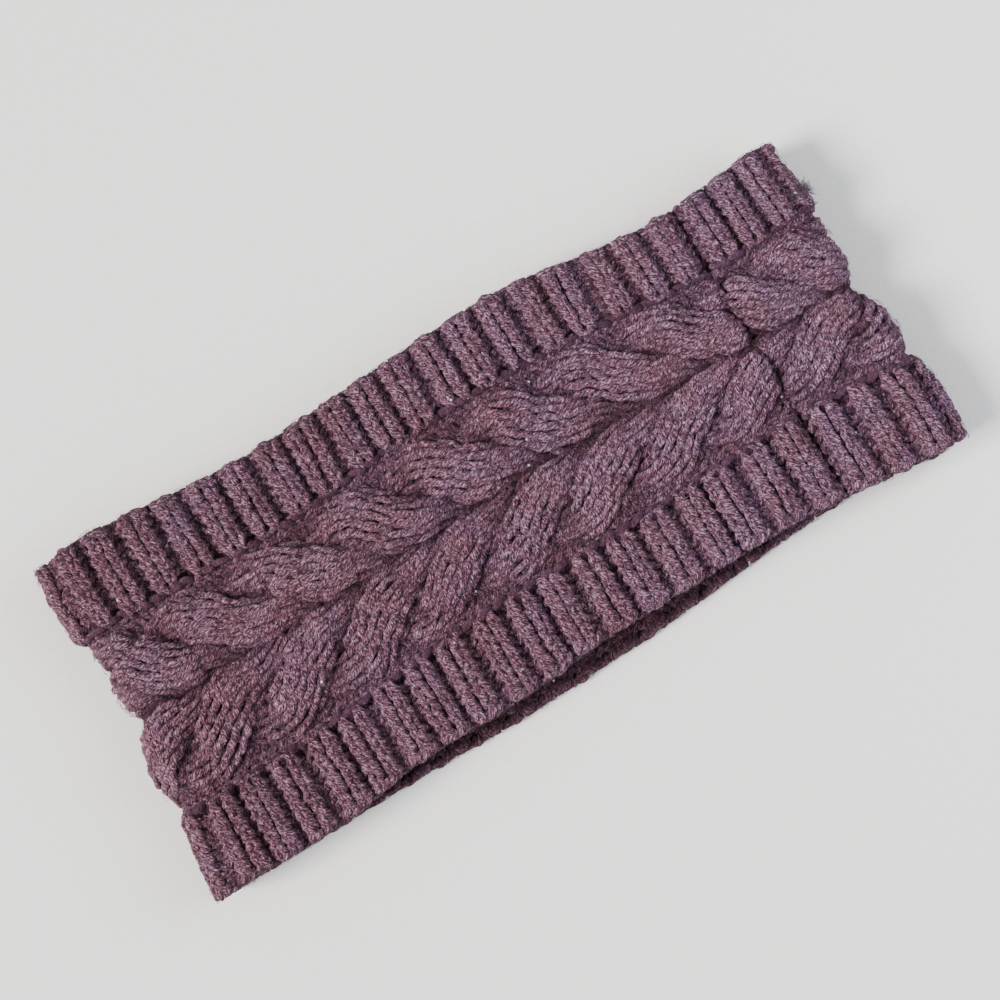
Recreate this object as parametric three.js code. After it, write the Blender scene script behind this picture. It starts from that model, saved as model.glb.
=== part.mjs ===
import * as THREE from 'three';

// An ear warmer headband, knitted, lying flat as two layers: a plaited cable panel with a
// two-by-two ribbed border along each side, sewn into a ring by one seam across the band.
// Millimetres. X runs along the flat band, Y across it, Z up from the surface it lies on.

// Driving sizes of the whole band
const flat_length = 246;
const hollow_gap = 5;
const fold_lift = 1.6;
const rest_press = 0.3;
const clearance = 0.3;

// The plaited panel
const panel_width = 53;
const panel_wall = 3.6;
const plait_relief = 4.2;
const edge_ridge = 1.4;
const ridge_rise = 1.2;
const leaf_pitch = 24.9;
const strand_width = 15.6;
const strand_sway = 18.2;
const plait_start = 16.9;
const side_lean = 4;

// The two ribbed borders
const border_width = 22.5;
const rib_depth = 7;
const rib_wall = 4;
const ribs_upper = 47;
const ribs_lower = 45;

// The seam
const seam_from_end = 40;
const seam_yarn = 2.2;
const seam_rise = 0.6;
const seam_bump = 0.9;
const seam_stitch = 4.6;

// How finely the shapes are cut into faces
const panel_steps = 174;
const panel_lanes = 13;
const path_points = 120;

const heather_mauve = 0x735562;
const shaded_mauve = 0x6a4e5b;

// Lanes along the upper layer. at is a share of the run from fold to fold, drift of the
// whole width, panel_up and panel_down of half the panel_width, rib_up and rib_down
// of border_width, and skew of half a leaf_pitch, by which the leaves above the centre
// lie further right and those below it further left.
const front_lanes = [
  { at: -0.5, drift: 0.014, panel_up: 0.98, panel_down: 1.12, rib_up: 1.01, rib_down: 1.03, skew: 0 },
  { at: -0.46, drift: 0.014, panel_up: 0.98, panel_down: 1.11, rib_up: 1.07, rib_down: 1.04, skew: 0 },
  { at: -0.347, drift: 0.012, panel_up: 0.97, panel_down: 1.08, rib_up: 1.0, rib_down: 1.04, skew: 0.02 },
  { at: -0.249, drift: 0.02, panel_up: 0.93, panel_down: 1.05, rib_up: 0.94, rib_down: 0.97, skew: 0.05 },
  { at: -0.098, drift: 0.027, panel_up: 1.01, panel_down: 0.97, rib_up: 0.89, rib_down: 1.07, skew: 0.1 },
  { at: 0.022, drift: 0.043, panel_up: 1.01, panel_down: 1.01, rib_up: 0.89, rib_down: 1.0, skew: 0.13 },
  { at: 0.141, drift: 0.043, panel_up: 1.01, panel_down: 1.0, rib_up: 0.91, rib_down: 1.0, skew: 0.16 },
  { at: 0.238, drift: 0.041, panel_up: 0.94, panel_down: 0.96, rib_up: 0.86, rib_down: 1.02, skew: 0.19 },
  { at: 0.336, drift: 0.037, panel_up: 0.88, panel_down: 0.91, rib_up: 0.85, rib_down: 1.1, skew: 0.2 },
  { at: 0.433, drift: 0.031, panel_up: 0.9, panel_down: 0.91, rib_up: 0.92, rib_down: 1.18, skew: 0.08 },
  { at: 0.5, drift: 0.038, panel_up: 0.91, panel_down: 1.02, rib_up: 0.93, rib_down: 1.12, skew: 0 },
];

// Lanes along the lower layer, which lies straighter and shows below the upper one
const back_lanes = [
  front_lanes[0],
  { at: -0.27, drift: -0.01, panel_up: 1.0, panel_down: 1.0, rib_up: 1.0, rib_down: 1.05, skew: 0 },
  { at: -0.108, drift: -0.018, panel_up: 1.0, panel_down: 1.0, rib_up: 0.97, rib_down: 1.05, skew: 0 },
  { at: 0.108, drift: -0.012, panel_up: 1.0, panel_down: 0.98, rib_up: 0.97, rib_down: 1.02, skew: 0 },
  { at: 0.27, drift: 0.005, panel_up: 0.95, panel_down: 0.95, rib_up: 0.95, rib_down: 1.0, skew: 0 },
  { at: 0.4, drift: 0.02, panel_up: 0.92, panel_down: 0.92, rib_up: 0.93, rib_down: 1.05, skew: 0 },
  front_lanes[front_lanes.length - 1],
];

// How far each lane reaches at the two folds, as shares of half the flat_length.
// lane runs from -1 at the lower edge to 1 at the upper edge.
const fold_reach = [
  { lane: -1.0, left: 1.0, right: 0.985 },
  { lane: -0.8, left: 0.992, right: 1.0 },
  { lane: -0.6, left: 0.977, right: 0.992 },
  { lane: -0.3, left: 0.972, right: 0.975 },
  { lane: 0.05, left: 0.95, right: 0.955 },
  { lane: 0.3, left: 0.957, right: 0.967 },
  { lane: 0.6, left: 0.98, right: 0.973 },
  { lane: 0.8, left: 0.988, right: 0.958 },
  { lane: 1.0, left: 0.978, right: 0.951 },
];

// One rib across its pitch: along is a share of the pitch, rise a share of the way
// from the valley to the crest
const rib_profile = [
  { along: 0.1, rise: 0.02 },
  { along: 0.27, rise: 0.9 },
  { along: 0.5, rise: 1.0 },
  { along: 0.73, rise: 0.9 },
  { along: 0.9, rise: 0.02 },
];

// A border's wall from the picked-up line to the cast-off edge: out is a share of
// border_width, body a share of the wall that is left there
const border_profile = [
  { out: 0.0, body: 1.0 },
  { out: 0.92, body: 1.0 },
  { out: 1.0, body: 0.5 },
];

// Reads a column of a table at any place, on a smooth curve through its rows.
function read(table, key, column, place) {
  const last = table.length - 1;
  const held = Math.min(Math.max(place, table[0][key]), table[last][key]);
  let row = 0;
  while (row < last - 1 && held > table[row + 1][key]) row += 1;
  const slope = (index) => {
    const before = table[Math.max(index - 1, 0)];
    const after = table[Math.min(index + 1, last)];
    return (after[column] - before[column]) / (after[key] - before[key]);
  };
  const start = table[row];
  const end = table[row + 1];
  const span = end[key] - start[key];
  const t = (held - start[key]) / span;
  const t2 = t * t;
  const t3 = t2 * t;
  return (2 * t3 - 3 * t2 + 1) * start[column] + (t3 - 2 * t2 + t) * span * slope(row)
    + (3 * t2 - 2 * t3) * end[column] + (t3 - t2) * span * slope(row + 1);
}

// The ring's middle surface, seen along Y: two runs joined by two round folds
const fold_radius = (rib_depth + hollow_gap) / 2;
const run_length = flat_length - 2 * fold_radius - rib_depth;
const fold_arc = Math.PI * fold_radius;
const ring_length = 2 * run_length + 2 * fold_arc;
const lower_level = rib_depth / 2 - rest_press;
const band_width = panel_width + 2 * border_width;
const seam_place = flat_length / 2 - seam_from_end;

// The extra height between the layers, all of it beside the folds
function liftAt(x) {
  const share = Math.abs(x) / (run_length / 2);
  return fold_lift * Math.min(share, 1) ** 6;
}

// A place on the ring, s millimetres to the right of the seam along the fabric
function ringAt(s) {
  const start = run_length / 2 - seam_place;
  let left = ((s % ring_length) + ring_length) % ring_length;
  const upper = (x) => lower_level + 2 * fold_radius + liftAt(x);
  if (left <= start) {
    const x = seam_place + left;
    return { x, z: upper(x), out_x: 0, out_z: 1, lanes: front_lanes };
  }
  left -= start;
  const fold = (turn, side) => {
    const rise = fold_radius + liftAt(run_length / 2) / 2;
    return {
      x: side * (run_length / 2 + fold_radius * Math.sin(turn)),
      z: lower_level + rise + rise * Math.cos(turn),
      out_x: side * Math.sin(turn),
      out_z: Math.cos(turn),
      lanes: front_lanes,
    };
  };
  if (left <= fold_arc) return fold(left / fold_radius, 1);
  left -= fold_arc;
  if (left <= run_length) {
    return { x: run_length / 2 - left, z: lower_level, out_x: 0, out_z: -1, lanes: back_lanes };
  }
  left -= run_length;
  if (left <= fold_arc) return fold(Math.PI - left / fold_radius, -1);
  left -= fold_arc;
  const x = left - run_length / 2;
  return { x, z: upper(x), out_x: 0, out_z: 1, lanes: front_lanes };
}

// The five lines that run round the band, at one place on the ring
function linesAt(place) {
  const column = (name) => read(place.lanes, 'at', name, place.x / run_length);
  const centre = column('drift') * band_width;
  const upper_line = centre + column('panel_up') * panel_width / 2;
  const lower_line = centre - column('panel_down') * panel_width / 2;
  return {
    centre,
    upper_line,
    lower_line,
    upper_edge: upper_line + column('rib_up') * border_width,
    lower_edge: lower_line - column('rib_down') * border_width,
    skew: column('skew') * leaf_pitch / 2,
  };
}

// The distance across the band of a lane, which runs from -1 at the lower edge through
// the picked-up lines to 1 at the upper edge
const line_lane = panel_width / band_width;

function acrossAt(lines, lane) {
  const beyond = (Math.abs(lane) - line_lane) / (1 - line_lane);
  if (lane > line_lane) return lines.upper_line + beyond * (lines.upper_edge - lines.upper_line);
  if (lane < -line_lane) return lines.lower_line + beyond * (lines.lower_edge - lines.lower_line);
  const line = lane > 0 ? lines.upper_line : lines.lower_line;
  return lines.centre + Math.abs(lane) / line_lane * (line - lines.centre);
}

// The folds are drawn in beyond this distance from the middle, so the seam stays straight.
const reach_start = seam_place + seam_yarn;

// A point of the band: y across it, lane from -1 to 1 for the folds' reach, and lift
// outwards from the middle surface. What would sink below the surface that the band lies
// on is pressed flat on it.
function bandPoint(place, y, lane, lift) {
  const side = place.x < 0 ? 'left' : 'right';
  const beyond = Math.max(Math.abs(place.x) - reach_start, 0);
  const towards_fold = (beyond / (flat_length / 2 - reach_start)) ** 2;
  const drawn_in = (1 - read(fold_reach, 'lane', side, lane)) * towards_fold;
  return new THREE.Vector3(
    place.x * (1 - drawn_in) + place.out_x * lift,
    y,
    Math.max(place.z + place.out_z * lift, 0),
  );
}

// A strand's way from where it comes out on one side of the plait to where it comes out on
// the other: along is a share of one and a half leaf pitches, across of strand_sway, rise
// in millimetres, and width the share of strand_width that is left.
const strand_way = [
  { way: -0.06, along: 0.21, across: -0.05, rise: -4.2, width: 0.7 },
  { way: 0.0, along: -0.04, across: 0.9, rise: -3.9, width: 0.7 },
  { way: 0.1, along: 0.08, across: 0.98, rise: -3.0, width: 0.85 },
  { way: 0.2, along: 0.2, across: 1.0, rise: -1.9, width: 0.95 },
  { way: 0.32, along: 0.32, across: 0.94, rise: -0.8, width: 1.0 },
  { way: 0.44, along: 0.44, across: 0.79, rise: -0.1, width: 1.0 },
  { way: 0.56, along: 0.55, across: 0.6, rise: 0.0, width: 1.0 },
  { way: 0.68, along: 0.68, across: 0.44, rise: -0.2, width: 0.95 },
  { way: 0.78, along: 0.82, across: 0.34, rise: -1.1, width: 0.85 },
  { way: 0.88, along: 0.99, across: 0.29, rise: -2.5, width: 0.75 },
  { way: 0.94, along: 1.21, across: 0.05, rise: -4.2, width: 0.7 },
  { way: 1.0, along: 0.96, across: -0.9, rise: -3.9, width: 0.7 },
  { way: 1.1, along: 1.08, across: -0.98, rise: -3.0, width: 0.85 },
];

function strandAt(way) {
  const turn = Math.floor(way);
  const side = turn % 2 === 0 ? 1 : -1;
  const column = (name) => read(strand_way, 'way', name, way - turn);
  return {
    along: 1.5 * leaf_pitch * (turn + column('along')),
    y: side * strand_sway * column('across'),
    rise: column('rise'),
    half: strand_width / 2 * column('width'),
  };
}

// After two ways a strand is back on its first side, three leaf pitches further along.
const strand_path = [];
for (let index = 0; index < path_points; index += 1) {
  strand_path.push(strandAt(2 * index / path_points));
}

// How high the plait stands at a place on the panel, from 0 in its deepest crevice to
// plait_relief on a leaf
function plaitRise(s, y) {
  const cycle = 3 * leaf_pitch;
  let best = 0;
  for (let strand = 0; strand < 3; strand += 1) {
    for (const path of strand_path) {
      const apart = path.along - s - plait_start - strand * leaf_pitch;
      const beside = apart - cycle * Math.round(apart / cycle);
      const away = Math.hypot(beside, path.y - y) / path.half;
      if (away < 1) {
        best = Math.max(best, plait_relief * Math.sqrt(1 - away * away) + path.rise);
      }
    }
  }
  return best;
}

// The volume that the faces close in, which is negative where they face inwards
function volumeOf(positions, faces) {
  const corner = (index) => new THREE.Vector3().fromArray(positions, 3 * faces[index]);
  let volume = 0;
  for (let index = 0; index < faces.length; index += 3) {
    volume += corner(index).dot(corner(index + 1).cross(corner(index + 2))) / 6;
  }
  return volume;
}

// Joins sections, each one closed outline with the same number of points, into a solid
// with flat ends. flat_outline is an end's outline laid flat, from which its faces are cut.
function solidFromSections(sections, flat_outline) {
  const count = sections[0].length;
  const positions = sections.flat().flatMap((point) => point.toArray());
  const faces = [];
  for (let row = 0; row < sections.length - 1; row += 1) {
    for (let column = 0; column < count; column += 1) {
      const next = (column + 1) % count;
      const a = row * count + column;
      const b = row * count + next;
      const [one, two] = [sections[row], sections[row + 1]];
      if (one[column].distanceTo(two[next]) < one[next].distanceTo(two[column])) {
        faces.push(a, a + count, b + count, a, b + count, b);
      } else {
        faces.push(a, a + count, b, b, a + count, b + count);
      }
    }
  }
  const last = (sections.length - 1) * count;
  for (const corners of THREE.ShapeUtils.triangulateShape(flat_outline, [])) {
    const [a, b, c] = corners.sort((one, other) => one - other);
    faces.push(a, b, c, last + a, last + c, last + b);
  }
  if (volumeOf(positions, faces) < 0) faces.reverse();
  const geometry = new THREE.BufferGeometry();
  geometry.setAttribute('position', new THREE.Float32BufferAttribute(positions, 3));
  geometry.setIndex(faces);
  geometry.computeVertexNormals();
  return geometry;
}

function piece(name, geometry, colour) {
  const material = new THREE.MeshStandardMaterial({ color: colour, roughness: 0.95, metalness: 0 });
  const mesh = new THREE.Mesh(geometry, material);
  mesh.name = name;
  return mesh;
}

// Where the knitted strip starts and ends, clear of the seam's yarn
const strip_start = seam_yarn / 2 + clearance;
const strip_end = ring_length - strip_start;

// The plaited panel: a strip with the plait raised on its outside and a thin ridge of
// edge stitches along both sides, flat inside
function cablePanel() {
  const inner = -panel_wall;
  const ridge_lane = 1 - 2 * edge_ridge / panel_width;
  const lanes = [1];
  for (let index = 0; index < panel_lanes; index += 1) {
    lanes.push(ridge_lane * (1 - 2 * index / (panel_lanes - 1)));
  }
  lanes.push(-1);
  const inner_lanes = [-1, 1];
  const sections = [];
  let outline = [];
  for (let step = 0; step <= panel_steps; step += 1) {
    const s = strip_start + (strip_end - strip_start) * step / panel_steps;
    const place = ringAt(s);
    const lines = linesAt(place);
    const upper = lines.upper_line - lines.centre - clearance / 2;
    const lower = lines.centre - lines.lower_line - clearance / 2;
    const point = (lane, lift) => {
      const y = lines.centre + lane * (lane > 0 ? upper : lower);
      return bandPoint(place, y, lane * line_lane, lift);
    };
    const rise = (lane) => {
      if (Math.abs(lane) === 1) return 0;
      const plait = plaitRise(s - lines.skew * Math.tanh(side_lean * lane), lane * panel_width / 2);
      return Math.abs(lane) === ridge_lane ? Math.max(plait, ridge_rise) : plait;
    };
    outline = [
      ...lanes.map((lane) => new THREE.Vector2(-lane, rise(lane))),
      ...inner_lanes.map((lane) => new THREE.Vector2(-lane, inner)),
    ];
    sections.push([
      ...lanes.map((lane) => point(lane, rise(lane))),
      ...inner_lanes.map((lane) => point(lane, inner)),
    ]);
  }
  return piece('cable_panel', solidFromSections(sections, outline), heather_mauve);
}

// A ribbed border: the fabric waves in and out round the ring, so that each rib outside
// is a groove inside
function ribBorder(name, side, ribs, colour) {
  const pitch = ring_length / ribs;
  const stations = [strip_start];
  const rises = [0];
  for (let rib = 0; rib < ribs; rib += 1) {
    for (const row of rib_profile) {
      const s = (rib + row.along) * pitch;
      if (s > strip_start && s < strip_end) {
        stations.push(s);
        rises.push(row.rise);
      }
    }
  }
  stations.push(strip_end);
  rises.push(0);
  const wave = rib_depth - rib_wall;
  let outline = [];
  const sections = stations.map((s, index) => {
    const place = ringAt(s);
    const lines = linesAt(place);
    const line = side > 0 ? lines.upper_line : lines.lower_line;
    const edge = side > 0 ? lines.upper_edge : lines.lower_edge;
    const start = line + side * clearance / 2;
    const middle = rib_depth / 2 - rib_wall / 2 - wave * (1 - rises[index]);
    const wall = border_profile.map((row) => ({
      y: start + (edge - start) * row.out,
      lane: side * (line_lane + row.out * (1 - line_lane)),
      half: row.body * rib_wall / 2,
      out: row.out,
    }));
    const back = [...wall].reverse();
    outline = [
      ...wall.map((row) => new THREE.Vector2(row.out * border_width, middle + row.half)),
      ...back.map((row) => new THREE.Vector2(row.out * border_width, middle - row.half)),
    ];
    return [
      ...wall.map((row) => bandPoint(place, row.y, row.lane, middle + row.half)),
      ...back.map((row) => bandPoint(place, row.y, row.lane, middle - row.half)),
    ];
  });
  return piece(name, solidFromSections(sections, outline), colour);
}

// The seam: a row of sewn stitches that fills the slot between the strip's two ends
function joinSeam() {
  const stitches = Math.round(band_width / seam_stitch);
  const half_yarn = seam_yarn / 2;
  const sections = [];
  let outline = [];
  for (let station = 0; station <= 2 * stitches; station += 1) {
    const lane = station / stitches - 1;
    const crown = seam_rise + (station % 2 === 1 ? seam_bump : 0);
    outline = [
      new THREE.Vector2(-half_yarn, -panel_wall),
      new THREE.Vector2(-half_yarn, seam_rise - half_yarn),
      new THREE.Vector2(0, crown),
      new THREE.Vector2(half_yarn, seam_rise - half_yarn),
      new THREE.Vector2(half_yarn, -panel_wall),
    ];
    sections.push(outline.map((corner) => {
      const place = ringAt(corner.x);
      return bandPoint(place, acrossAt(linesAt(place), lane), lane, corner.y);
    }));
  }
  return piece('join_seam', solidFromSections(sections, outline), shaded_mauve);
}

const band = new THREE.Group();
band.add(cablePanel());
band.add(ribBorder('rib_border_upper', 1, ribs_upper, shaded_mauve));
band.add(ribBorder('rib_border_lower', -1, ribs_lower, shaded_mauve));
band.add(joinSeam());

// The middle of the band's foot on the surface is the origin.
const extent = new THREE.Box3().setFromObject(band);
const middle = extent.getCenter(new THREE.Vector3());
band.position.set(-middle.x, -middle.y, -extent.min.z);

export default band;
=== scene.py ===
"""A knitted ear warmer headband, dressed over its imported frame. Blender 4.5, metres.

Every yarn is a tube along its own knitted path. The paths are worked out flat, as loops
in courses, and laid on the band by on_band, which repeats the source's ring."""
import math

import bmesh
import bpy
import numpy as np
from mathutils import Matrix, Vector


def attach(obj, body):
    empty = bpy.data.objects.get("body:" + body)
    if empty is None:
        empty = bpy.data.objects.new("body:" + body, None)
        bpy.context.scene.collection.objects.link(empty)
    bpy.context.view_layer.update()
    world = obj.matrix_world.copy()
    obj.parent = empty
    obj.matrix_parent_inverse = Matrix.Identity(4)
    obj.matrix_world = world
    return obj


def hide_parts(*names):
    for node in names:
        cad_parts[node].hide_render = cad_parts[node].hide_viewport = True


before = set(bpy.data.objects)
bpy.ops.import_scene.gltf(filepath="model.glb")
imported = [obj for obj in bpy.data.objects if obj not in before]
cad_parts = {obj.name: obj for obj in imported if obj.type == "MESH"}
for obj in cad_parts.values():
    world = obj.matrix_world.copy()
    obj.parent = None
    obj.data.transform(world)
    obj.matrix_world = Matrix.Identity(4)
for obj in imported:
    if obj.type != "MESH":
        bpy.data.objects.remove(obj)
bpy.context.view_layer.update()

MM = 0.001
rng = np.random.default_rng(31)

# The source's sizes, in millimetres
flat_length = 246
hollow_gap = 5
fold_lift = 1.6
rest_press = 0.3
clearance = 0.3
panel_width = 53
plait_relief = 4.2
leaf_pitch = 24.9
strand_width = 15.6
strand_sway = 18.2
plait_start = 16.9
side_lean = 4
border_width = 22.5
rib_depth = 7
ribs_upper = 47
ribs_lower = 45
seam_from_end = 40
seam_yarn = 2.2
seam_stitch = 4.6

# The source's band stands this far from the frame's origin, which is under its middle
frame_shift = (0.4034, 0.1309)

fold_radius = (rib_depth + hollow_gap) / 2
run_length = flat_length - 2 * fold_radius - rib_depth
fold_arc = math.pi * fold_radius
ring_length = 2 * run_length + 2 * fold_arc
lower_level = rib_depth / 2 - rest_press
band_width = panel_width + 2 * border_width
seam_place = flat_length / 2 - seam_from_end
line_lane = panel_width / band_width
reach_start = seam_place + seam_yarn
strip_start = seam_yarn / 2 + clearance
strip_length = ring_length - 2 * strip_start

# Lanes along the upper layer, as in the source: place, drift, panel up and down, rib up
# and down, skew
front_lanes = np.array([
    (-0.5, 0.014, 0.98, 1.12, 1.01, 1.03, 0),
    (-0.46, 0.014, 0.98, 1.11, 1.07, 1.04, 0),
    (-0.347, 0.012, 0.97, 1.08, 1.0, 1.04, 0.02),
    (-0.249, 0.02, 0.93, 1.05, 0.94, 0.97, 0.05),
    (-0.098, 0.027, 1.01, 0.97, 0.89, 1.07, 0.1),
    (0.022, 0.043, 1.01, 1.01, 0.89, 1.0, 0.13),
    (0.141, 0.043, 1.01, 1.0, 0.91, 1.0, 0.16),
    (0.238, 0.041, 0.94, 0.96, 0.86, 1.02, 0.19),
    (0.336, 0.037, 0.88, 0.91, 0.85, 1.1, 0.2),
    (0.433, 0.031, 0.9, 0.91, 0.92, 1.18, 0.08),
    (0.5, 0.038, 0.91, 1.02, 0.93, 1.12, 0),
])
back_lanes = np.array([
    front_lanes[0],
    (-0.27, -0.01, 1.0, 1.0, 1.0, 1.05, 0),
    (-0.108, -0.018, 1.0, 1.0, 0.97, 1.05, 0),
    (0.108, -0.012, 1.0, 0.98, 0.97, 1.02, 0),
    (0.27, 0.005, 0.95, 0.95, 0.95, 1.0, 0),
    (0.4, 0.02, 0.92, 0.92, 0.93, 1.05, 0),
    front_lanes[-1],
])
# How far each lane reaches at the left and the right fold
fold_reach = np.array([
    (-1.0, 1.0, 0.985),
    (-0.8, 0.992, 1.0),
    (-0.6, 0.977, 0.992),
    (-0.3, 0.972, 0.975),
    (0.05, 0.95, 0.955),
    (0.3, 0.957, 0.967),
    (0.6, 0.98, 0.973),
    (0.8, 0.988, 0.958),
    (1.0, 0.978, 0.951),
])

# A strand's way from where it comes out on one side to where it comes out on the other:
# a share of that way, then along as a share of one and a half leaf pitches, across as a
# share of strand_sway, the rise, and the share of strand_width that is left
strand_way = np.array([
    (-0.06, 0.21, -0.05, -4.2, 0.7),
    (0.0, -0.04, 0.9, -3.9, 0.7),
    (0.1, 0.08, 0.98, -3.0, 0.85),
    (0.2, 0.2, 1.0, -1.9, 0.95),
    (0.32, 0.32, 0.94, -0.8, 1.0),
    (0.44, 0.44, 0.79, -0.1, 1.0),
    (0.56, 0.55, 0.6, 0.0, 1.0),
    (0.68, 0.68, 0.44, -0.2, 0.95),
    (0.78, 0.82, 0.34, -1.1, 0.85),
    (0.88, 0.99, 0.29, -2.5, 0.75),
    (0.94, 1.21, 0.05, -4.2, 0.7),
    (1.0, 0.96, -0.9, -3.9, 0.7),
    (1.1, 1.08, -0.98, -3.0, 0.85),
])

# How the loops are knitted: yarns and depths in millimetres, the rest in shares of a
# stitch or a row
loop_points = 10
loop_depth = 0.65
loop_reach = 0.8
across_uneven = 0.045
reach_uneven = 0.07
up_uneven = 0.08
depth_uneven = 0.2

border_rows = 7
border_yarn = 1.17
border_lean = 0.23
border_draw = 0.085
border_drift = 0.45
border_seed = 5
rib_wave = 1.4
rib_square = 1.5
rib_spread = 0.07
rib_furrow = 0.24
furrow_width = 0.2
seam_meet = 0.6

strand_columns = 4
turn_rows = 12
plait_yarn = 1.24
plait_lean = 0.17
plait_reach = 1.0
# Painted shade on the plait yarns' flanks is stronger than on the other yarns
plait_flank_shade = 0.66
plait_drift = 0.3
plait_seed = 11
dome_turn = math.radians(84)
steepest = 0.9
deepest = -2.4
half_panel = math.ceil(panel_width / 2)

# A yarn's surface: its roughness, where the painted shade on its flanks begins, how far it
# stays over the floor, and the length between two yarns on the UV map
yarn_rough = 0.09
flank_shade_start = 0.8
floor_gap = 0.02
yarn_break = 7.3

# The sheets behind the yarn: how far their middles stay over the floor, and their walls
sheet_clear = 0.5
core_wall = 0.6
rib_ground_wall = 0.8
panel_ground_wall = 1.0
panel_ground_level = -2.7


def hermite(start, start_slope, end, end_slope, t):
    t2, t3 = t * t, t * t * t
    return ((2 * t3 - 3 * t2 + 1) * start + (t3 - 2 * t2 + t) * start_slope
            + (3 * t2 - 2 * t3) * end + (t3 - t2) * end_slope)


def through(keys, values, at):
    """A smooth curve through a table's rows, read at many places."""
    index = np.arange(len(keys))
    before, after = np.maximum(index - 1, 0), np.minimum(index + 1, len(keys) - 1)
    slopes = (values[after] - values[before]) / (keys[after] - keys[before])
    held = np.clip(at, keys[0], keys[-1])
    row = np.clip(np.searchsorted(keys, held) - 1, 0, len(keys) - 2)
    span = keys[row + 1] - keys[row]
    return hermite(values[row], span * slopes[row], values[row + 1], span * slopes[row + 1],
                   (held - keys[row]) / span)


def lane_column(x, front, column):
    return np.where(
        front,
        through(front_lanes[:, 0], front_lanes[:, column], x / run_length),
        through(back_lanes[:, 0], back_lanes[:, column], x / run_length),
    )


def ring_at(s):
    """Places on the ring's middle surface, s to the right of the seam along the fabric:
    x, z, the way out and whether they are on the front's lanes."""
    rise = fold_radius + fold_lift / 2
    past = np.mod(s - (run_length / 2 - seam_place), ring_length)
    on_fold = past < fold_arc
    on_back = ~on_fold & (past < fold_arc + run_length)
    on_left = ~on_fold & ~on_back & (past < 2 * fold_arc + run_length)
    turn = np.where(on_fold, past, fold_arc - (past - fold_arc - run_length)) / fold_radius
    side = np.where(on_fold, 1.0, -1.0)
    front_x = past - 2 * fold_arc - 1.5 * run_length
    front_rise = fold_lift * np.minimum(np.abs(front_x) / (run_length / 2), 1) ** 6
    folded = on_fold | on_left
    x = np.where(folded, side * (run_length / 2 + fold_radius * np.sin(turn)),
                 np.where(on_back, run_length / 2 - (past - fold_arc), front_x))
    z = np.where(folded, lower_level + rise + rise * np.cos(turn),
                 np.where(on_back, lower_level, lower_level + 2 * fold_radius + front_rise))
    out_x = np.where(folded, side * np.sin(turn), 0.0)
    out_z = np.where(folded, np.cos(turn), np.where(on_back, -1.0, 1.0))
    return x, z, out_x, out_z, ~on_back


def on_band(s, lane, lift, clear=0.0):
    """Points of the band in metres. lane runs from -1 at the lower edge to 1 at the upper
    edge, and lift is outwards. Nothing sinks below clear over the floor."""
    x, z, out_x, out_z, front = ring_at(s)
    centre = lane_column(x, front, 1) * band_width
    upper_line = centre + lane_column(x, front, 2) * panel_width / 2
    lower_line = centre - lane_column(x, front, 3) * panel_width / 2
    beyond = (np.abs(lane) - line_lane) / (1 - line_lane)
    y = np.where(
        lane > line_lane, upper_line + beyond * lane_column(x, front, 4) * border_width,
        np.where(
            lane < -line_lane, lower_line - beyond * lane_column(x, front, 5) * border_width,
            centre + np.abs(lane) / line_lane
            * (np.where(lane > 0, upper_line, lower_line) - centre)))
    reach = np.where(x < 0, through(fold_reach[:, 0], fold_reach[:, 1], lane),
                     through(fold_reach[:, 0], fold_reach[:, 2], lane))
    towards = np.maximum(np.abs(x) - reach_start, 0) / (flat_length / 2 - reach_start)
    x = x * (1 - (1 - reach) * towards ** 2) + out_x * lift
    z = np.maximum(z + out_z * lift, clear)
    return np.stack([x + frame_shift[0], y + frame_shift[1], z], axis=-1) * MM


def outward_at(points):
    """The way out of the fabric at points of the band."""
    x = points[:, 0] / MM - frame_shift[0]
    z = points[:, 2] / MM - lower_level - fold_radius - fold_lift / 2
    beyond = np.sign(x) * np.maximum(np.abs(x) - run_length / 2, 0)
    size = np.hypot(beyond, z)
    return np.stack([beyond / size, np.zeros(len(x)), z / size], axis=-1)


def side_shift(s, lane):
    """How far the plait is shifted along at s, one way on each side of the panel."""
    x, _, _, _, front = ring_at(s)
    return lane_column(x, front, 6) * leaf_pitch * np.tanh(side_lean * lane) / 2


def strand_at(way):
    """A plait strand after way, in half turns of the plait: along, across, rise, width."""
    turn = np.floor(way)
    side = np.where(np.mod(turn, 2) == 0, 1.0, -1.0)
    along, across, rise, width = (
        through(strand_way[:, 0], strand_way[:, column], way - turn) for column in (1, 2, 3, 4))
    return 1.5 * leaf_pitch * (turn + along), side * strand_sway * across, rise, width


def wander(count, points, size):
    """A smooth seeded unevenness, one value a stitch, read at every point of the yarn."""
    values = rng.normal(0, size, count + 2)
    at = np.arange(count * points + 1) / points
    low = np.minimum(at.astype(int), count)
    t = at - low
    t = t * t * (3 - 2 * t)
    return values[low] * (1 - t) + values[low + 1] * t


def uneven(s, lane, size, seed):
    """A slow unevenness over the band, in five wave lengths. It fades out at the seam."""
    waves = np.random.default_rng(seed)
    usual_tilt, usual_total, fading = 2.5, 1.6, 9
    total = np.zeros(np.broadcast(s, lane).shape)
    for length in (7.0, 11.0, 17.0, 29.0, 47.0):
        phase, tilt = waves.uniform(0, 2 * math.pi), waves.normal(0, usual_tilt)
        total = total + np.sin(2 * math.pi * s / length + phase + tilt * lane)
    fade = np.clip(np.minimum(s, ring_length - s) / fading, 0, 1)
    return size * fade * total / usual_total


def standing_out(lift, low, high):
    """How far a lift is from low to high, as a share: the yarn's height attribute, which sets
    its painted shade and highlight.
    """
    return (lift - low) / (high - low)


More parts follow.
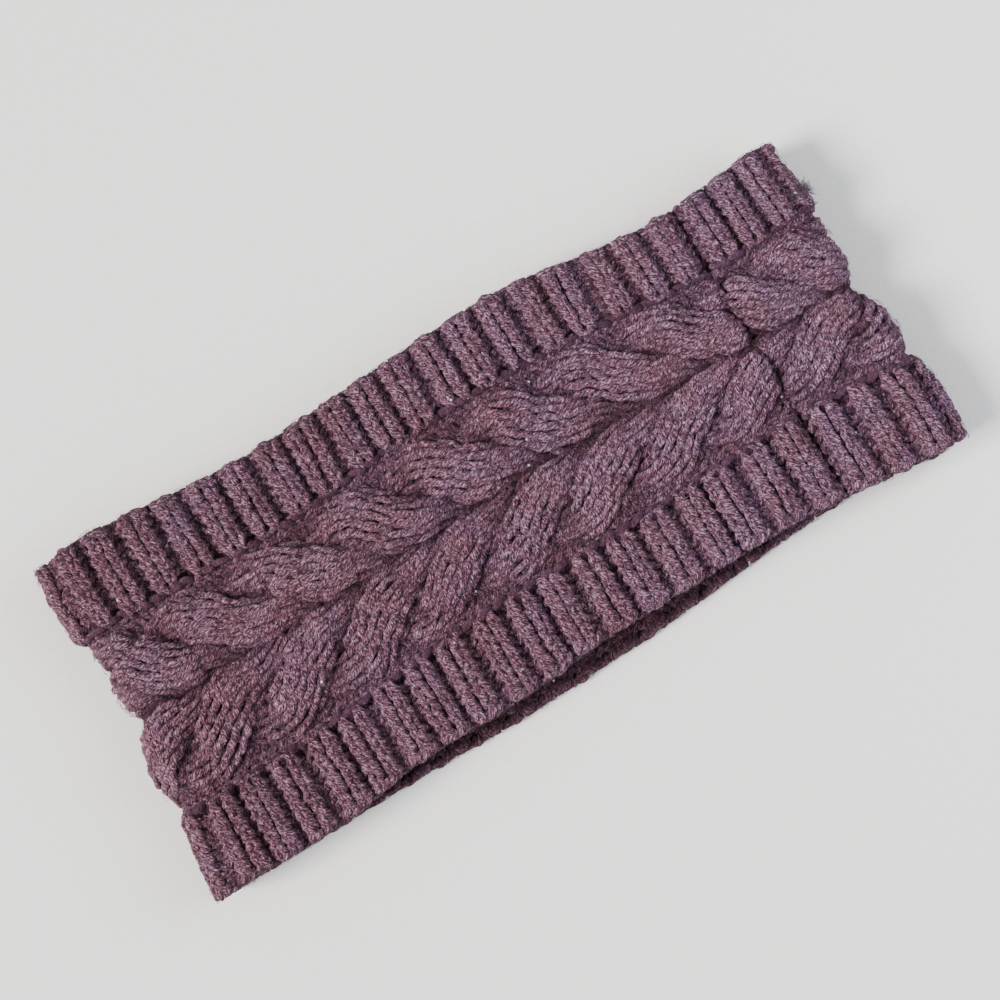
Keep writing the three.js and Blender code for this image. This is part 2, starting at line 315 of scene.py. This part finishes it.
def loops(count, lean, points=loop_points, together=0.0, reach=loop_reach):
    """A course of knitted loops: how far across in stitches, up the fabric in rows, and
    out in millimetres, with the legs of each loop in front and drawn together."""
    turn = np.arange(count * points + 1) / points
    angle = 2 * math.pi * turn
    across = turn + lean * np.sin(2 * angle) + together * np.sin(angle)
    across += wander(count, points, across_uneven)
    up = -reach * np.cos(angle) * (1 + wander(count, points, reach_uneven))
    up += wander(count, points, up_uneven)
    out = -loop_depth * np.cos(2 * angle) * (1 + wander(count, points, depth_uneven))
    return across, up, out


def linked(name, data):
    piece = bpy.data.objects.new(name, data)
    bpy.context.scene.collection.objects.link(piece)
    return piece


def yarn(name, paths, thickness, shade_levels, sides=6, flank_shade=0.22):
    """A mesh of yarns, one tube a path. thickness is each point's radius, in millimetres.
    Its UV map holds the length along the yarn in millimetres and the share of a turn, and
    its height attribute a level of painted shade and highlight from 0 to 1: how far each
    point stands out of the fabric, with less on the yarn's flanks, which are painted darker."""
    curve = bpy.data.curves.new(name, "CURVE")
    curve.dimensions = "3D"
    curve.bevel_depth = MM
    curve.bevel_resolution = (sides - 4) // 2
    lengths, run = [], 0.0
    for path, radius in zip(paths, thickness):
        spline = curve.splines.new("POLY")
        spline.points.add(len(path) - 1)
        placed = np.ones((len(path), 4), np.float32)
        placed[:, :3] = path
        spline.points.foreach_set("co", placed.ravel())
        ends = np.array(radius, np.float32)
        ends[[0, -1]] = 0
        spline.points.foreach_set("radius", ends)
        steps = np.linalg.norm(np.diff(path, axis=0), axis=1) / MM
        length = run + np.concatenate([[0], np.cumsum(steps)])
        lengths.append(length)
        run = length[-1] + yarn_break
    holder = linked(name, curve)
    graph = bpy.context.evaluated_depsgraph_get()
    mesh = bpy.data.meshes.new_from_object(holder.evaluated_get(graph))
    bpy.data.objects.remove(holder)
    bpy.data.curves.remove(curve)
    mesh.name = name

    corners = np.empty(len(mesh.loops), int)
    mesh.loops.foreach_get("vertex_index", corners)
    layer = mesh.uv_layers[0]
    uv = np.empty(2 * len(corners), np.float32)
    layer.data.foreach_get("uv", uv)
    uv[0::2] = np.concatenate(lengths)[corners // sides]
    layer.data.foreach_set("uv", uv)

    middles = np.repeat(np.concatenate(paths), sides, axis=0)
    skin = np.empty(3 * len(mesh.vertices), np.float32)
    mesh.vertices.foreach_get("co", skin)
    skin = skin.reshape(-1, 3)
    rough = rng.normal(1.0, yarn_rough, len(skin))[:, None]
    pressed = middles + (skin - middles) * rough
    pressed[:, 2] = np.maximum(pressed[:, 2], floor_gap * MM)
    mesh.vertices.foreach_set("co", pressed.ravel())

    height = mesh.attributes.new("height", "FLOAT", "POINT")
    thick = np.repeat(np.concatenate(thickness), sides) * MM
    # Painted shade on the flanks: points turned away from the fabric's outside come out darker
    turned_out = ((skin - middles) * outward_at(middles)).sum(axis=1) / thick
    stand = np.repeat(np.concatenate(shade_levels), sides) + flank_shade * (turned_out - flank_shade_start)
    height.data.foreach_set("value", np.clip(stand, 0, 1).astype(np.float32))

    shell = bmesh.new()
    shell.from_mesh(mesh)
    bmesh.ops.remove_doubles(shell, verts=shell.verts, dist=1e-6)
    shell.to_mesh(mesh)
    shell.free()
    mesh.shade_smooth()
    return linked(name, mesh)


def rib_pitch(ribs):
    return (ring_length - 2 * seam_meet) / ribs


def rib_height(crest):
    """The ribs' height where their sine is crest: a wave with flattened tops."""
    return rib_wave * np.tanh(rib_square * crest) / math.tanh(rib_square)


def rib_fold(q, ribs):
    """The ribs' wave, q in stitches from a crest's first knit column: s, lift, and the
    way out of the wave as (s, lift). A furrow runs between a crest's two knit columns."""
    pitch = rib_pitch(ribs)
    turn = math.pi / 2 * q
    s = seam_meet + pitch * (0.25 + q / 4 - rib_spread * np.cos(turn))
    crest = np.sin(turn)
    from_middle = q - 1 - 4 * np.round((q - 1) / 4)
    lift = rib_height(crest) - rib_furrow * np.exp(-(from_middle / furrow_width) ** 2)
    ds = pitch * (0.25 + rib_spread * math.pi / 2 * np.sin(turn))
    dl = rib_wave * rib_square * math.pi / 2 * np.cos(turn) / np.cosh(rib_square * crest) ** 2
    size = np.hypot(ds, dl)
    return s, lift, -dl / size, ds / size


def border_lane(side, share):
    """The lane at a share of the way from a border's pick-up line to its free edge."""
    return side * (line_lane + share * (1 - line_lane))


def border_courses(name, side, ribs):
    """A ribbed border's yarn: courses round the band, two columns knit and two purl."""
    stitches = 4 * ribs
    first_row, all_rows, top_reach = 0.75, border_rows + 0.3, 0.5
    turn_over = 3.5
    paths, radii, shade_levels = [], [], []
    for row in range(border_rows):
        across, up, out = loops(stitches, border_lean, together=border_draw)
        q = across - 1
        s, lift, out_s, out_lift = rib_fold(q, ribs)
        out = out * np.clip(turn_over * np.sin(math.pi / 2 * q), -1, 1)
        if row == border_rows - 1:
            up = np.minimum(up, top_reach)
        lane = border_lane(side, (row + first_row + up) / all_rows)
        radius = border_yarn * (1 + wander(stitches, loop_points, 0.07))
        s = s + out_s * out + uneven(s, lane, border_drift, border_seed + side)
        lift = lift + out_lift * out + wander(stitches, loop_points, 0.12)
        paths.append(on_band(s, lane, lift, radius))
        radii.append(radius)
        shade_levels.append(standing_out(lift, -7.2, 2.8))
    return yarn(name, paths, radii, shade_levels)


def cast_off(name, side, ribs):
    """The chain along a border's free edge: two plies of yarn turned round each other. It
    reaches further over each rib."""
    stitches, points = 4 * ribs, 8
    edge, rib_reach = 1.3, 0.9
    ply_reach, ply_depth, ply_yarn = 0.55, 0.95, 1.0
    turn = np.arange(stitches * points + 1) / points
    paths, radii, shade_levels = [], [], []
    for ply in (0, 0.5):
        angle = 2 * math.pi * (turn + ply)
        q = turn - 1 + 0.1 * np.sin(angle)
        s, lift, out_s, out_lift = rib_fold(q, ribs)
        out = ply_depth * np.sin(angle) + wander(stitches, points, 0.12)
        aside = ply_reach * np.cos(angle) + wander(stitches, points, 0.3)
        aside = aside + rib_reach * np.sin(math.pi / 2 * q)
        lane = border_lane(side, 1 - (edge - aside) / border_width)
        radius = ply_yarn + wander(stitches, points, 0.07)
        s = s + out_s * out + uneven(s, lane, border_drift, border_seed + side)
        lift = lift + out_lift * out
        paths.append(on_band(s, lane, lift, radius))
        radii.append(radius)
        shade_levels.append(standing_out(lift, -2.2, 2.0))
    return yarn(name, paths, radii, shade_levels)


def pick_up(name, side):
    """The bars of yarn along the line where a border is picked up from the panel. Each one
    arches out, and is thickest at its middle."""
    bar, points = 4.9, 12
    bar_yarn, thicker, level, arch, towards_panel = 0.85, 0.25, 0.1, 0.7, 0.2
    count = int(strip_length / bar)
    turn = np.arange(count * points + 1) / points
    s = strip_start + turn * strip_length / count
    s = s + 0.25 * np.sin(2 * math.pi * turn)
    rise = np.sin(math.pi * np.mod(turn, 1)) ** 0.6
    lift = level + arch * rise + wander(count, points, 0.45)
    aside = 0.35 * np.cos(math.pi * np.mod(turn, 1)) + wander(count, points, 0.25)
    lane = side * (line_lane + (aside - towards_panel) * 2 / band_width)
    radius = bar_yarn + thicker * rise + wander(count, points, 0.12)
    path = on_band(s, lane, lift, radius)
    return yarn(name, [path], [radius], [standing_out(lift, -1.2, 2.8)])


def strand_point(way, theta, out):
    """A place on a strand: theta round its dome, out of its surface, as s, y and lift."""
    step, least = 0.01, 0.05
    along, y, rise, width = strand_at(way)
    ahead, ahead_y, _, _ = strand_at(way + step)
    slope = np.clip((ahead_y - y) / np.maximum(ahead - along, least), -steepest, steepest)
    size = np.hypot(1, slope)
    wide = strand_width / 2 * width * np.sin(theta) / math.sin(dome_turn) + out * np.sin(theta)
    high = plait_relief * (np.cos(theta) - math.cos(dome_turn)) / (1 - math.cos(dome_turn))
    return along - wide * slope / size, y + wide / size, rise + high + out * np.cos(theta)


def plait_field():
    """How high the plait stands over the panel, on a grid of s and y a millimetre apart,
    and the same field smoothed over a few millimetres."""
    ways = np.arange(0, 2, 1 / 90)
    along, across, rise, width = strand_at(ways)
    s, y = np.meshgrid(np.arange(0, ring_length + 1), np.arange(-half_panel, half_panel + 1),
                       indexing="ij")
    shift = side_shift(s, y * 2 / panel_width)
    best = np.full(s.shape, -1.0)
    cycle = 3 * leaf_pitch
    for number in range(3):
        for place, middle, lift, share in zip(along, across, rise, width):
            apart = place - s + shift - plait_start - number * leaf_pitch
            apart -= cycle * np.round(apart / cycle)
            away = (apart ** 2 + (middle - y) ** 2) / (strand_width / 2 * share) ** 2
            best = np.maximum(best, plait_relief * np.sqrt(np.maximum(1 - away, 0)) + lift)
    smooth = best
    for reach in (1, 2, 2):
        for axis in (0, 1):
            smooth = sum(np.roll(smooth, step, axis) for step in range(-reach, reach + 1))
            smooth = smooth / (2 * reach + 1)
    return best, smooth


def field_at(field, s, y):
    """Reads a field of the plait between its grid's places."""
    s = np.clip(s, 0, field.shape[0] - 1.001)
    y = np.clip(y + half_panel, 0, field.shape[1] - 1.001)
    i, j = s.astype(int), y.astype(int)
    u, v = s - i, y - j
    return ((field[i, j] * (1 - u) + field[i + 1, j] * u) * (1 - v)
            + (field[i, j + 1] * (1 - u) + field[i + 1, j + 1] * u) * v)


def strand_span(number):
    """The half turns of the plait that a strand passes from seam to seam."""
    offset = plait_start + number * leaf_pitch
    turn = 1.5 * leaf_pitch
    return offset, math.floor(offset / turn) - 1, math.ceil((ring_length + offset) / turn) + 1


def plait_strand(name, number):
    """One strand of the plait: knit columns that go over and under the others, and dip
    beside the seam. A row gets painted shade where it lies under what is around it, and
    more the lower it stands."""
    past_seam, seam_gap, seam_dip, dip_length = 0.8, 0.4, 1.3, 1.1
    # The painted shade of the rows: at most brightest, and darker the further they lie under
    # the smoothed plait around them and the lower they stand
    brightest, hollow_shade_depth, relief_shade_depth = 0.89, 2.0, 7.5
    lowest = deepest + 0.45
    surface = loop_depth + plait_yarn
    offset, first, last = strand_span(number)
    paths, radii, shade_levels = [], [], []
    for row in range(first * turn_rows, last * turn_rows):
        across, up, out = loops(strand_columns, plait_lean, reach=plait_reach)
        across += wander(strand_columns, loop_points, 0.09)
        way = (row + 0.5 + up) / turn_rows
        turned = across / strand_columns * 2 - 1
        theta = dome_turn * (0.8 * turned + 0.2 * turned ** 3)
        s, y, lift = strand_point(way, theta, out)
        lane = y / (panel_width / 2)
        s = s - offset
        if s.mean() < -past_seam or s.mean() > ring_length + past_seam:
            continue
        s = s + side_shift(s, lane)
        s = s + uneven(s, lane, plait_drift, plait_seed)
        s = np.clip(s, seam_gap, ring_length - seam_gap)
        radius = plait_yarn * (1 + wander(strand_columns, loop_points, 0.1))
        lift = lift - surface + wander(strand_columns, loop_points, 0.32)
        from_seam = np.minimum(s, ring_length - s)
        lift = lift - seam_dip * np.exp(-(from_seam / dip_length) ** 2)
        relief = out * np.cos(theta)
        lift = np.maximum(lift - relief, lowest) + relief
        paths.append(on_band(s, lane * line_lane, lift, radius))
        radii.append(radius)
        own = lift + surface
        hollow = field_at(smooth_height, s, lane * panel_width / 2) - own
        shade_levels.append(
            brightest - hollow / hollow_shade_depth - (plait_relief - own) / relief_shade_depth)
    return yarn(name, paths, radii, shade_levels, flank_shade=plait_flank_shade)


def laid_sheet(name, rows, columns, place_at, thickness):
    """A grid, rows along and columns across, laid on the band and given a thickness.
    place_at turns the grid's places, from -1 to 1 both ways, into points of the band, and
    says which of them are left out."""
    sheet = bmesh.new()
    bmesh.ops.create_grid(sheet, x_segments=rows, y_segments=columns, size=1, calc_uvs=True)
    places = np.array([vert.co for vert in sheet.verts])
    points, beyond = place_at(places[:, 0], places[:, 1])
    for vert, point in zip(sheet.verts, points):
        vert.co = point
    sheet.verts.ensure_lookup_table()
    outside = [vert for vert, out in zip(sheet.verts, beyond) if out]
    bmesh.ops.delete(sheet, geom=outside, context="VERTS")
    mesh = bpy.data.meshes.new(name)
    sheet.to_mesh(mesh)
    sheet.free()
    mesh.shade_smooth()
    piece = linked(name, mesh)
    wall = piece.modifiers.new("wall", "SOLIDIFY")
    wall.thickness = thickness * MM
    wall.offset = 0
    return piece


def plait_core(name, number):
    """The shaded fabric just under a strand's surface."""
    rows_in_turn, columns = 30, 10
    depth, lowest = loop_depth + 1.4 * plait_yarn, deepest - 0.3
    offset, first, last = strand_span(number)

    def place_at(along, across):
        way = first + (along + 1) / 2 * (last - first)
        s, y, lift = strand_point(way, across * dome_turn, 0)
        lane = y / (panel_width / 2)
        s = s - offset
        beyond = (s < strip_start) | (s > ring_length - strip_start)
        s = np.clip(s + side_shift(s, lane), strip_start, ring_length - strip_start)
        lift = np.maximum(lift - depth, lowest)
        return on_band(s, lane * line_lane, lift, sheet_clear), beyond

    return laid_sheet(name, (last - first) * rows_in_turn, columns, place_at, core_wall)


def ground(name, across_lanes, lift_at, rows, thickness):
    """The fabric behind the yarn, through across_lanes. lift_at gives its lift at places
    along the ring."""
    columns = len(across_lanes) - 1

    def place_at(along, across):
        s = strip_start + (along + 1) / 2 * strip_length
        lane = np.interp((across + 1) / 2 * columns, np.arange(columns + 1), across_lanes)
        return on_band(s, lane, lift_at(s), sheet_clear), np.zeros(len(s), bool)

    return laid_sheet(name, rows, columns, place_at, thickness)


def edge_columns(name, side):
    """The panel's ground beside the plait: two purl columns, and a knit one at its edge."""
    columns, purl_columns, width, inset, usual_row = 3, 2, 3.3, 0.3, 2.95
    level, rise, rise_from, turn_over, edge_yarn = -1.3, 0.5, 1.6, 6, 1.05
    rows = round(strip_length / usual_row)
    row_step = strip_length / rows
    paths, radii, shade_levels = [], [], []
    for row in range(rows):
        across, up, out = loops(columns, border_lean)
        s = strip_start + (row + 0.5 + up) * row_step
        knit = np.clip(turn_over * (across - purl_columns), -1, 1)
        lift = level + rise * np.clip(across - rise_from, 0, 1) + out * knit
        from_edge = inset + (columns - across) * width
        lane = side * (panel_width / 2 - from_edge) / (panel_width / 2)
        radius = edge_yarn + wander(columns, loop_points, 0.06)
        paths.append(on_band(s, lane * line_lane, lift, radius))
        radii.append(radius)
        shade_levels.append(standing_out(lift, -2.5, 1.5))
    return yarn(name, paths, radii, shade_levels)


def seam_stitches(name):
    """The sewn yarn of the seam, in small slanted stitches from edge to edge."""
    count, last_lane = round(band_width / seam_stitch), 0.97
    slant, level, arch, thread = 1.1, -1.5, 0.6, 0.95
    turn = np.arange(count * loop_points + 1) / loop_points
    angle = 2 * math.pi * turn
    lane = last_lane * (2 * turn / count - 1)
    s = slant * np.sin(angle)
    lift = level + arch * np.cos(angle) + wander(count, loop_points, 0.2)
    radius = thread + wander(count, loop_points, 0.05)
    path = on_band(s, lane, lift, radius)
    return yarn(name, [path], [radius], [standing_out(lift, -2, 1)])


def fuzz(name, count, seed):
    """Loose fibres that stand out of the wool in low arches, all over the band and thicker
    along its free edges, with a small tuft of them near the right fold."""
    picks = np.random.default_rng(seed)
    tuft, rims = count // 90, count // 4
    tuft_place, tuft_lane = run_length / 2 - seam_place + 5, 0.655
    seam_gap, last_lane, rim_lane, past_rim, furthest = 4, 0.985, 0.975, 1.005, 1.025
    shortest, longest, thinnest, thickest = 1.6, 4.2, 0.035, 0.065
    in_plait, over_ribs, lowest = 0.5, 1.2, -1.0
    s = picks.uniform(seam_gap, ring_length - seam_gap, (count, 1))
    lane = picks.uniform(-last_lane, last_lane, (count, 1))
    s[:tuft] = tuft_place + picks.normal(0, 0.5, (tuft, 1))
    lane[:tuft] = tuft_lane + picks.normal(0, 0.006, (tuft, 1))
    rim = slice(tuft, rims)
    lane[rim] = np.sign(lane[rim]) * picks.uniform(rim_lane, past_rim, lane[rim].shape)
    heading = picks.uniform(0, 2 * math.pi, (count, 1))
    length = picks.uniform(shortest, longest, (count, 1))
    t = np.linspace(0, 1, 4)[None, :]
    bend = heading + picks.normal(0, 0.9, (count, 1)) * t
    s = s + length * t * np.cos(bend)
    lane = np.clip(lane + length * t * np.sin(bend) * 2 / band_width, -furthest, furthest)
    on_panel = np.abs(lane) < line_lane
    panel_lift = field_at(plait_height, s, lane / line_lane * panel_width / 2) - in_plait
    pitch = rib_pitch(np.where(lane > 0, ribs_upper, ribs_lower))
    crest = np.sin(2 * math.pi * ((s - seam_meet) / pitch - 0.25))
    rib_lift = rib_height(crest) + over_ribs
    arch = picks.uniform(0.2, 1.1, (count, 1)) * np.sin(math.pi * (0.12 + 0.8 * t))
    arch[:tuft] = picks.uniform(1.0, 3.2, (tuft, 1)) * t
    lift = np.where(on_panel, np.maximum(panel_lift, lowest), rib_lift) + arch
    radius = picks.uniform(thinnest, thickest, (count, 1)) * np.array([[0.6, 1, 1, 0.4]])
    points = on_band(s, lane, lift, radius)
    return yarn(name, list(points), list(radius), list(np.full(radius.shape, 0.7)), sides=4)


def node(tree, kind, inputs=None, **settings):
    made = tree.nodes.new(kind)
    for key, value in settings.items():
        setattr(made, key, value)
    for key, value in (inputs or {}).items():
        if isinstance(value, bpy.types.NodeSocket):
            tree.links.new(value, made.inputs[key])
        else:
            made.inputs[key].default_value = value
    return made


def maths(tree, operation, one, two=0.0):
    return node(tree, "ShaderNodeMath", {0: one, 1: two}, operation=operation).outputs[0]


def ramp(tree, factor, stops):
    made = node(tree, "ShaderNodeValToRGB", {"Fac": factor})
    elements = made.color_ramp.elements
    while len(elements) < len(stops):
        elements.new(0.5)
    for element, (place, colour) in zip(elements, stops):
        element.position = place
        element.color = (*colour, 1)
    return made.outputs[0]


def mixed(tree, blend, factor, one, two):
    made = node(tree, "ShaderNodeMix", data_type="RGBA", blend_type=blend)
    for index, value in ((0, factor), (6, one), (7, two)):
        if isinstance(value, bpy.types.NodeSocket):
            tree.links.new(value, made.inputs[index])
        else:
            made.inputs[index].default_value = value
    return made.outputs[2]


def noise(tree, vector, scale, detail=2, roughness=0.6):
    return node(tree, "ShaderNodeTexNoise", {
        "Vector": vector, "Scale": scale, "Detail": detail, "Roughness": roughness}).outputs[0]


def heather_yarn(name, shades, streak=1.0, standing=True, sheen=0.2, grain=1.0):
    """Soft heathered wool: spun fibres that spiral round the yarn, redder and bluer patches
    that drift browner and darker towards -x, fine speckle and a few pale flecks. The brown
    is a tone drift and the darkening is painted shade. streak sets how deep the fibres are,
    grain how strong the speckle is, and standing multiplies in painted shade and a painted
    highlight by the height attribute."""
    turn_length, plies = 7.0, 3
    material = bpy.data.materials.new(name)
    material.use_nodes = True
    tree = material.node_tree
    shader = tree.nodes["Principled BSDF"]
    coordinate = node(tree, "ShaderNodeTexCoord")
    place = coordinate.outputs["Object"]
    uv = node(tree, "ShaderNodeSeparateXYZ", {0: coordinate.outputs["UV"]})
    along, around = uv.outputs[0], uv.outputs[1]
    twist = maths(tree, "ADD", around, maths(tree, "DIVIDE", along, turn_length))
    angle = maths(tree, "MULTIPLY", twist, 2 * math.pi)
    spiral = node(tree, "ShaderNodeCombineXYZ", {
        0: maths(tree, "COSINE", angle),
        1: maths(tree, "SINE", angle),
        2: maths(tree, "MULTIPLY", along, 0.5),
    }).outputs[0]
    fibres = noise(tree, spiral, 2.8)
    patches = noise(tree, place, 60, detail=3)
    speckle = noise(tree, place, 2000)
    ply = maths(tree, "COSINE", maths(tree, "MULTIPLY", angle, plies))

    dark, middle, light = shades
    colour = ramp(tree, fibres, [(0.37, dark), (0.5, middle), (0.63, light)])
    # Painted shade in the hollows and on the flanks, and a painted highlight on top, from the
    # height attribute
    if standing:
        height = node(tree, "ShaderNodeAttribute", attribute_name="height").outputs["Fac"]
        colour = mixed(tree, "MULTIPLY", 1.0, colour, ramp(tree, height, shade_and_highlight_tones))
    # The noise patches are the yarn's own heathered tone. The drift along x added to them makes
    # the wool browner and darker towards -x: the brown is a tone drift, the darkening is
    # painted shade
    shade_drift_x = node(tree, "ShaderNodeSeparateXYZ", {0: place}).outputs[0]
    patches = maths(tree, "ADD", patches, maths(tree, "MULTIPLY", shade_drift_x, -1.0))
    colour = mixed(tree, "MULTIPLY", 1.0, colour, ramp(tree, patches, heather_and_shade_tones))
    colour = mixed(tree, "MULTIPLY", grain, colour, ramp(tree, speckle, speckle_tones))
    flecks = node(tree, "ShaderNodeTexVoronoi", {"Vector": place, "Scale": 330})
    fleck = maths(tree, "LESS_THAN", flecks.outputs["Distance"], 0.13)
    chosen = node(tree, "ShaderNodeSeparateXYZ", {0: flecks.outputs["Color"]}).outputs[0]
    fleck = maths(tree, "MULTIPLY", fleck, maths(tree, "LESS_THAN", chosen, 0.05))
    colour = mixed(tree, "MIX", fleck, colour, fleck_colour)
    tree.links.new(colour, shader.inputs["Base Color"])

    relief = maths(tree, "ADD", maths(tree, "MULTIPLY", fibres, 1.6 * streak),
                   maths(tree, "MULTIPLY", ply, 0.1 * streak))
    relief = maths(tree, "ADD", relief, maths(tree, "MULTIPLY", speckle, 0.9 * grain))
    bump = node(tree, "ShaderNodeBump", {
        "Height": relief, "Strength": 1.0, "Distance": 0.0009})
    tree.links.new(bump.outputs[0], shader.inputs["Normal"])
    shader.inputs["Roughness"].default_value = 0.95
    shader.inputs["Specular IOR Level"].default_value = 0.15
    shader.inputs["Sheen Weight"].default_value = sheen
    shader.inputs["Sheen Roughness"].default_value = 0.6
    shader.inputs["Sheen Tint"].default_value = sheen_tint
    return material


def plain_floor():
    floor = bmesh.new()
    bmesh.ops.create_grid(floor, x_segments=1, y_segments=1, size=4)
    mesh = bpy.data.meshes.new("floor")
    floor.to_mesh(mesh)
    floor.free()
    piece = linked("floor", mesh)
    material = bpy.data.materials.new("pale_floor")
    material.use_nodes = True
    tree = material.node_tree
    place = node(tree, "ShaderNodeTexCoord").outputs["Object"]
    grain = noise(tree, place, 900, roughness=0.5)
    shade = ramp(tree, grain, [(0.35, (0.84, 0.82, 0.79)), (0.65, (0.88, 0.86, 0.83))])
    shader = tree.nodes["Principled BSDF"]
    tree.links.new(shade, shader.inputs["Base Color"])
    shader.inputs["Roughness"].default_value = 0.85
    mesh.materials.append(material)


def light(name, place, target, size, energy, colour):
    lamp = bpy.data.lights.new(name, "AREA")
    lamp.size = size
    lamp.energy = energy
    lamp.color = colour
    holder = linked(name, lamp)
    holder.location = place
    holder.rotation_mode = "QUATERNION"
    holder.rotation_quaternion = (Vector(place) - Vector(target)).to_track_quat("Z", "Y")


def camera(azimuth, elevation, distance, target, lens):
    a, e = math.radians(azimuth), math.radians(elevation)
    back = Vector((math.sin(a) * math.cos(e), -math.cos(a) * math.cos(e), math.sin(e)))
    data = bpy.data.cameras.new("camera")
    data.lens = lens
    data.sensor_width = 36
    holder = linked("camera", data)
    holder.location = Vector(target) + back * distance
    holder.rotation_mode = "QUATERNION"
    holder.rotation_quaternion = (-back).to_track_quat("-Z", "Y")
    bpy.context.scene.camera = holder


def finished(piece, material, slot, *nodes):
    piece.data.materials.clear()
    piece.data.materials.append(material)
    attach(piece, "root")
    if nodes:
        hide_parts(*nodes)
    return piece


# Linear colours: the fibres' dark, middle and light shades
panel_shades = ((0.048, 0.009, 0.022), (0.17, 0.07, 0.108), (0.44, 0.295, 0.36))
border_shades = ((0.048, 0.01, 0.023), (0.168, 0.07, 0.108), (0.43, 0.288, 0.35))
# Painted shade: the sheets behind the yarn, the plait cores and the sunken seam stitches get
# this much darker wool, as fabric deep in the gaps looks in shade
deep_shade_colours = ((0.022, 0.005, 0.012), (0.05, 0.015, 0.03), (0.1, 0.042, 0.064))
bar_shades = ((0.07, 0.025, 0.05), (0.115, 0.048, 0.084), (0.165, 0.08, 0.125))
loose_shades = ((0.2, 0.12, 0.16), (0.36, 0.25, 0.3), (0.55, 0.42, 0.48))
fleck_colour = (0.8, 0.76, 0.74, 1)
sheen_tint = (0.85, 0.72, 0.78, 1)

# What the shades are multiplied by: by the height attribute, painted shade in hollows and
# on flanks and a painted highlight on top; in patches from blue to brown, which also turn
# darker towards -x as painted shade; and in the speckle
shade_and_highlight_tones = ((0.0, (0.22, 0.05, 0.12)), (0.5, (0.76, 0.65, 0.73)), (1.0, (1.28, 1.28, 1.28)))
heather_and_shade_tones = ((0.34, (0.96, 1.03, 1.12)), (0.5, (0.98, 0.98, 0.98)), (0.66, (0.91, 0.84, 0.8)))
speckle_tones = ((0.37, (0.62, 0.57, 0.6)), (0.63, (1.4, 1.4, 1.4)))

panel_wool = heather_yarn("panel_wool", panel_shades)
border_wool = heather_yarn("border_wool", border_shades)
bar_wool = heather_yarn("bar_wool", bar_shades, streak=0.5, grain=0.6)
loose_wool = heather_yarn("loose_wool", loose_shades, standing=False)
shaded_wool = heather_yarn("shaded_wool", deep_shade_colours, standing=False, sheen=0.1)

plait_height, smooth_height = plait_field()
strands = (("one", 0), ("two", 1), ("three", 2))
panel_pieces = [
    finished(plait_strand(f"plait_strand_{word}", number), panel_wool, "panel_yarn")
    for word, number in strands]
panel_pieces += [
    finished(plait_core(f"plait_core_{word}", number), shaded_wool, "panel_yarn")
    for word, number in strands]
panel_pieces += [
    finished(edge_columns(f"panel_edge_{name}", side), panel_wool, "panel_yarn")
    for name, side in (("upper", 1), ("lower", -1))]
panel_ground = finished(
    ground("panel_ground", np.linspace(-line_lane, line_lane, 13),
           lambda s: np.full(s.shape, panel_ground_level), 420, panel_ground_wall),
    shaded_wool, "panel_yarn", "cable_panel")

for name, side, ribs in (("upper", 1, ribs_upper), ("lower", -1, ribs_lower)):
    courses = finished(border_courses(f"rib_courses_{name}", side, ribs), border_wool,
                       "border_yarn")
    edge = finished(cast_off(f"cast_off_{name}", side, ribs), border_wool, "border_yarn")
    bars = finished(pick_up(f"pick_up_{name}", side), bar_wool, "border_yarn")
    # Its sheet follows the ribs' wave, from the pick-up line to just inside the free edge
    lanes = side * np.linspace(line_lane, 0.97, 7)
    wave_s, wave_lift, _, _ = rib_fold(np.linspace(-1, 4 * ribs - 1, 16 * ribs), ribs)
    back = finished(
        ground(f"rib_ground_{name}", np.sort(lanes),
               lambda s: np.interp(s, wave_s, wave_lift), 8 * ribs, rib_ground_wall),
        shaded_wool, "border_yarn", f"rib_border_{name}")

# The seam stitches lie deep in its groove and get the dark wool of painted shade
finished(seam_stitches("seam_stitches"), shaded_wool, "border_yarn", "join_seam")
finished(fuzz("loose_fibres_one", 7000, 3), loose_wool, "border_yarn")
finished(fuzz("loose_fibres_two", 7000, 4), loose_wool, "border_yarn")

plain_floor()
world = bpy.data.worlds.new("sky")
world.use_nodes = True
sky = world.node_tree.nodes["Background"]
sky.inputs["Color"].default_value = (0.86, 0.92, 1.0, 1)
sky.inputs["Strength"].default_value = 0.5
bpy.context.scene.world = world
light("window", place=(-2.6, 0.26, 2.1), target=(0, 0, 0), size=1.25, energy=158,
      colour=(1.0, 0.97, 0.94))
light("fill", place=(0.5, -0.1, 0.45), target=(0.05, 0, 0), size=0.5, energy=2.4,
      colour=(0.95, 0.97, 1.0))
bpy.context.scene.view_settings.look = "AgX - Medium High Contrast"
camera(azimuth=-31, elevation=84, distance=0.555, target=(0.0008, 0.0025, 0.010), lens=72)
